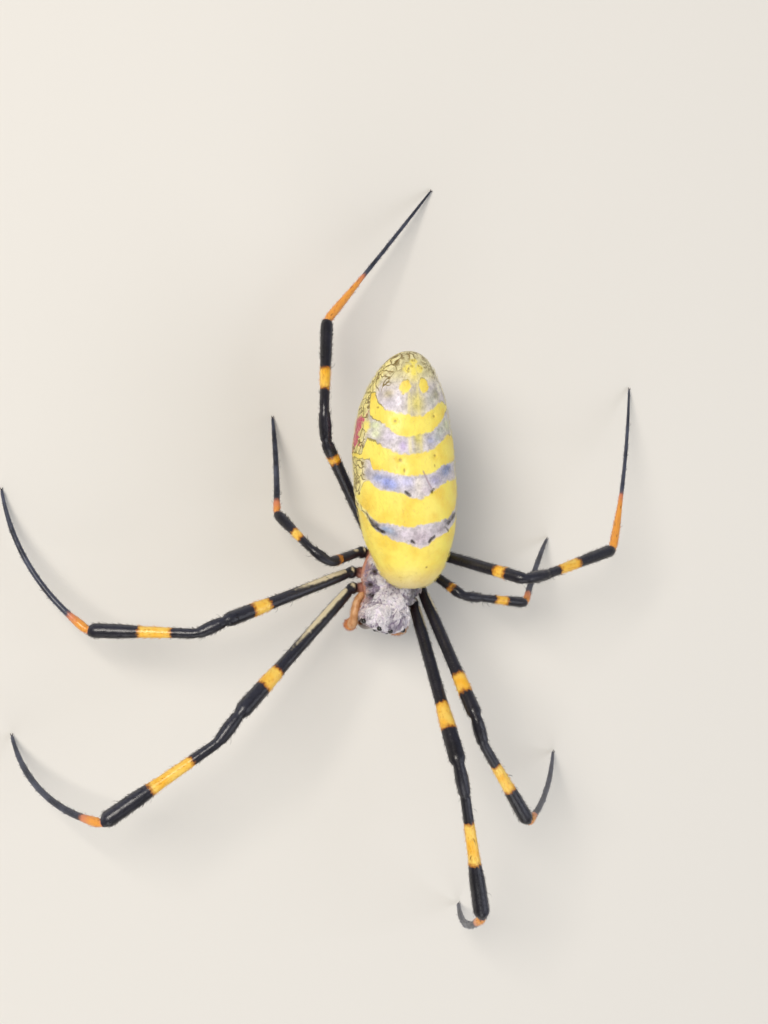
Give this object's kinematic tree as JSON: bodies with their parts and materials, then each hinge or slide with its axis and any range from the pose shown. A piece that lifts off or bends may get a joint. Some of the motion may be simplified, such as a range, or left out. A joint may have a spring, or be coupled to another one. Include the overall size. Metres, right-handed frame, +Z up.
{
  "type": "golden silk orb weaver spider model",
  "caption": "Life-size still model of a female golden silk orb weaver: long banded abdomen, silver-haired front body and slender banded legs spread in their resting pose.",
  "frame": {"origin": "on the floor under the feet, below the middle of the whole model's box", "axes": "the head points towards -Y and the spider's left side towards +X, +Z up, feet resting on z = 0"},
  "size_m": [0.0572, 0.065, 0.0161],
  "materials": {
    "silver_hair": "clumped silvery hair over brown skin",
    "yellow_skin": "smooth skin, yellow bands between blue-grey ones, netted and red-marked flanks",
    "brown_shell": "polished dark brown shell",
    "amber_shell": "satin amber shell",
    "black_shell": "glossy blue-black shell with yellow bands",
    "eye_black": "polished black"
  },
  "bodies": {
    "root": {"abdomen": "yellow_skin", "cephalothorax": "silver_hair", "chelicera_left": "brown_shell", "chelicera_right": "brown_shell", "eye_front_left": "eye_black", "eye_front_right": "eye_black", "eye_rear_left": "eye_black", "eye_rear_right": "eye_black", "eyes_side_left": "eye_black", "eyes_side_right": "eye_black", "fang_left": "black_shell", "fang_right": "black_shell", "leg_left_1_coxa": "amber_shell", "leg_left_1_femur": "black_shell", "leg_left_1_foot": "black_shell", "leg_left_1_tibia": "black_shell", "leg_left_2_coxa": "amber_shell", "leg_left_2_femur": "black_shell", "leg_left_2_foot": "black_shell", "leg_left_2_tibia": "black_shell", "leg_left_3_coxa": "amber_shell", "leg_left_3_femur": "black_shell", "leg_left_3_foot": "black_shell", "leg_left_3_tibia": "black_shell", "leg_left_4_coxa": "amber_shell", "leg_left_4_femur": "black_shell", "leg_left_4_foot": "black_shell", "leg_left_4_tibia": "black_shell", "leg_right_1_coxa": "amber_shell", "leg_right_1_femur": "black_shell", "leg_right_1_foot": "black_shell", "leg_right_1_tibia": "black_shell", "leg_right_2_coxa": "amber_shell", "leg_right_2_femur": "black_shell", "leg_right_2_foot": "black_shell", "leg_right_2_tibia": "black_shell", "leg_right_3_coxa": "amber_shell", "leg_right_3_femur": "black_shell", "leg_right_3_foot": "black_shell", "leg_right_3_tibia": "black_shell", "leg_right_4_coxa": "amber_shell", "leg_right_4_femur": "black_shell", "leg_right_4_foot": "black_shell", "leg_right_4_tibia": "black_shell", "palp_left": "amber_shell", "palp_right": "amber_shell", "pedicel": "brown_shell", "spinnerets": "amber_shell"}
  },
  "joints": []
}
